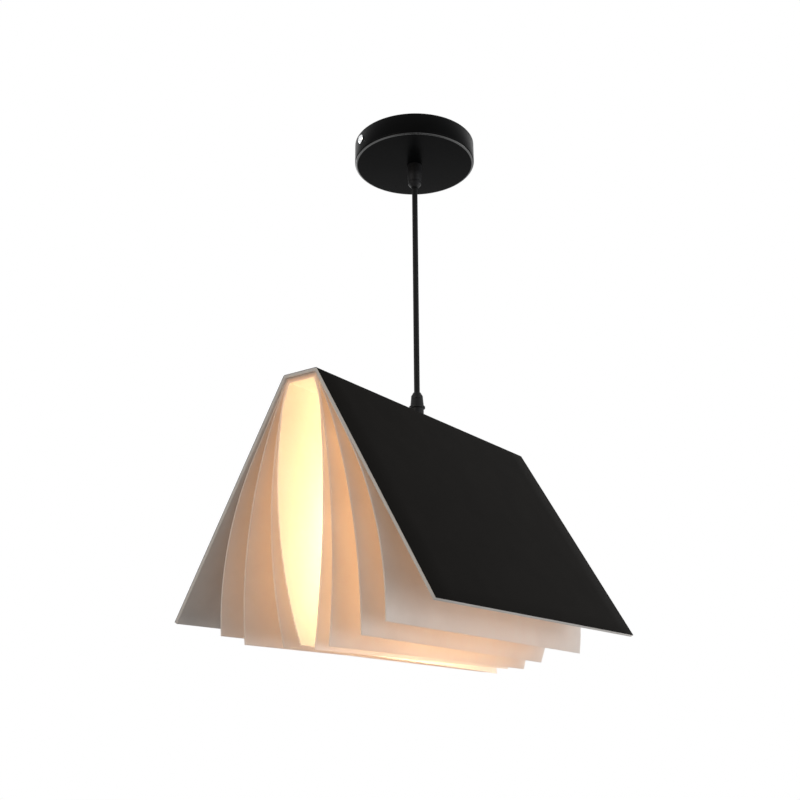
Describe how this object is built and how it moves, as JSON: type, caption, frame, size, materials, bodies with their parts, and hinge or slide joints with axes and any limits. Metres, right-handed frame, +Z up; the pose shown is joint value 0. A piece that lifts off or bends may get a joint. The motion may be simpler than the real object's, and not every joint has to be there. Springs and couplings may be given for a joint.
{
  "type": "pendant lamp",
  "caption": "Pendant lamp in the form of an open book hung spine up on a cord, with black covers, translucent fanned leaves round a bulb, and a round ceiling canopy.",
  "frame": {"origin": "centre of the ceiling bracket's top face, on the cord's axis, in the ceiling plane", "axes": "+Z up into the ceiling, Y along the book's spine, X across it"},
  "size_m": [0.2544, 0.336, 0.5105],
  "materials": {
    "canopy_paint": "satin black paint",
    "zinc_steel": "zinc plated",
    "chrome": "polished",
    "brass": "plain",
    "terminal_plastic": "moulded",
    "grip_plastic": "moulded black",
    "cord_sheath": "smooth black sheath",
    "wire_cover": "plain",
    "cover_white": "matt white board",
    "cover_black": "matt black film",
    "leaf_sheet": "frosted translucent sheet",
    "holder_plastic": "moulded white",
    "holder_ceramic": "pale insert",
    "cap_nickel": "nickel plated",
    "cap_glass": "black insulator",
    "bulb_plastic": "moulded white",
    "bulb_opal": "opal, lit from inside"
  },
  "bodies": {
    "canopy": {"canopy_cup": "canopy_paint", "ceiling_bracket": "zinc_steel", "canopy_side_screws": "chrome", "terminal_housing": "terminal_plastic", "terminal_barrels": "brass", "terminal_screws": "zinc_steel", "terminal_fixing_screw": "zinc_steel", "earth_screw": "brass", "earth_washer": "brass", "canopy_nipple": "zinc_steel", "canopy_locknut": "zinc_steel", "upper_grip_body": "grip_plastic", "upper_grip_cap": "grip_plastic", "upper_grip_collet": "grip_plastic", "upper_cord_tail": "cord_sheath", "canopy_wires": "wire_cover"},
    "bend": {"cord_bend": "cord_sheath"},
    "cord": {"hanging_cord": "cord_sheath"},
    "lamp": {"lamp_nipple": "zinc_steel", "lamp_locknut": "zinc_steel", "spine_nut": "zinc_steel", "spine_washer": "zinc_steel", "clamp_plate": "zinc_steel", "holder_contacts": "brass", "lower_grip_body": "grip_plastic", "lower_grip_cap": "grip_plastic", "lower_grip_collet": "grip_plastic", "lower_cord_tail": "cord_sheath", "holder_wires": "wire_cover", "cover_board": "cover_white", "cover_jacket": "cover_black", "sheet_1": "leaf_sheet", "sheet_2": "leaf_sheet", "sheet_3": "leaf_sheet", "sheet_4": "leaf_sheet", "holder_cap": "holder_plastic", "holder_body": "holder_plastic", "holder_insert": "holder_ceramic", "bulb_shell": "cap_nickel", "bulb_tip": "cap_nickel", "bulb_insulator": "cap_glass", "bulb_collar": "bulb_plastic", "bulb_glass": "bulb_opal"}
  },
  "joints": [
    {"name": "swing_along", "type": "hinge", "parent": "canopy", "child": "bend", "pos_m": [0, 0, -0.049], "axis": [1, 0, 0], "range_deg": [-25, 25]},
    {"name": "swing_across", "type": "hinge", "parent": "bend", "child": "cord", "pos_m": [0, 0, -0.049], "axis": [0, 1, 0], "range_deg": [-25, 25]},
    {"name": "lamp_turn", "type": "hinge", "parent": "cord", "child": "lamp", "pos_m": [0, 0, -0.266], "axis": [0, 0, 1], "range_deg": [-180, 180]}
  ]
}
